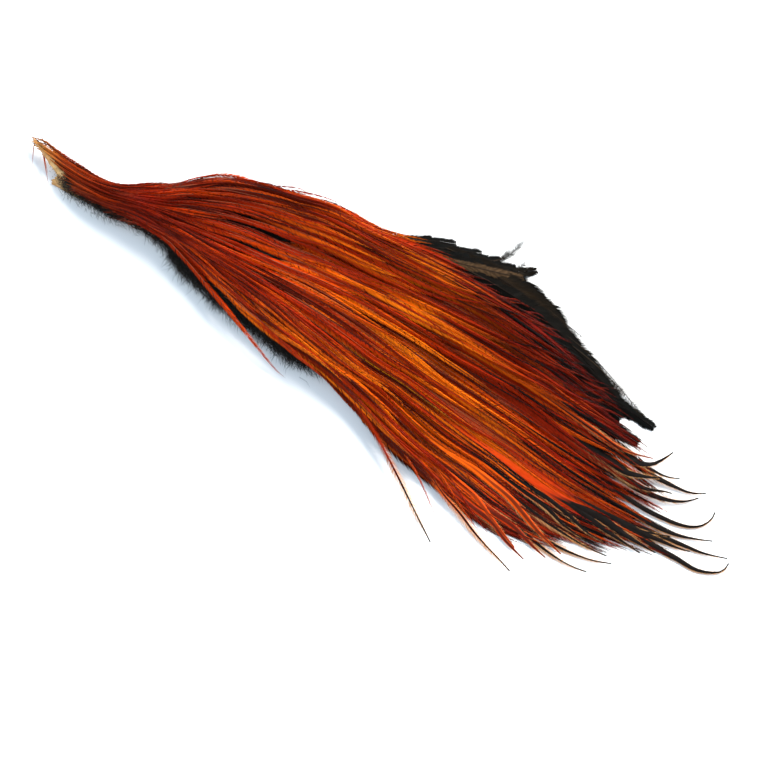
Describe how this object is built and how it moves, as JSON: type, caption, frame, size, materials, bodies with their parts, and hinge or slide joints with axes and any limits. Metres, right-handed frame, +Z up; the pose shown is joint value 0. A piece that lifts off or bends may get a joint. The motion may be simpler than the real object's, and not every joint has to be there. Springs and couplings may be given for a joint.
{
  "type": "rooster cape",
  "caption": "Dried neck hide of a cock with its long glossy red and orange hackles, dark down and black shoulder feathers, laid flat with the feathers up.",
  "frame": {"origin": "on the surface that the cape lies on, under the middle of its outline", "axes": "+X from the nape end to the long feather tips, +Z up from the skin side to the feather side, +Y towards the edge with the black shoulder feathers"},
  "size_m": [0.2662, 0.0988, 0.0193],
  "materials": {
    "skin": "dried yellow-tan skin, semi-matte, with feather follicles",
    "down": "matte dark grey fluff",
    "shoulder_vane": "black-brown feather vane with a slight blue-green sheen",
    "hackle": "glossy feather vane, mahogany red at the nape, orange-red in the middle, dark towards the tips"
  },
  "bodies": {
    "root": {"hide": "skin", "down": "down", "shoulder_feather_01": "shoulder_vane", "shoulder_feather_02": "shoulder_vane", "shoulder_feather_03": "shoulder_vane", "shoulder_feather_04": "shoulder_vane", "shoulder_feather_05": "shoulder_vane", "shoulder_feather_06": "shoulder_vane", "shoulder_feather_07": "shoulder_vane", "shoulder_feather_08": "shoulder_vane", "shoulder_feather_09": "shoulder_vane", "hackle_01": "hackle", "hackle_02": "hackle", "hackle_03": "hackle", "hackle_04": "hackle", "hackle_05": "hackle", "hackle_06": "hackle", "hackle_07": "hackle", "hackle_08": "hackle", "hackle_09": "hackle", "hackle_10": "hackle", "hackle_11": "hackle", "hackle_12": "hackle", "hackle_13": "hackle", "hackle_14": "hackle", "hackle_15": "hackle", "hackle_16": "hackle", "hackle_17": "hackle", "hackle_18": "hackle", "hackle_19": "hackle", "hackle_20": "hackle", "hackle_21": "hackle", "hackle_22": "hackle", "hackle_23": "hackle", "hackle_24": "hackle", "hackle_25": "hackle", "hackle_26": "hackle", "hackle_27": "hackle", "hackle_28": "hackle", "hackle_29": "hackle", "hackle_30": "hackle", "hackle_31": "hackle", "hackle_32": "hackle", "hackle_33": "hackle", "hackle_34": "hackle", "hackle_35": "hackle", "hackle_36": "hackle", "hackle_37": "hackle", "hackle_38": "hackle", "hackle_39": "hackle", "hackle_40": "hackle", "hackle_41": "hackle", "hackle_42": "hackle", "hackle_43": "hackle", "hackle_44": "hackle", "hackle_45": "hackle", "hackle_46": "hackle", "hackle_47": "hackle", "hackle_48": "hackle", "hackle_49": "hackle"}
  },
  "joints": []
}
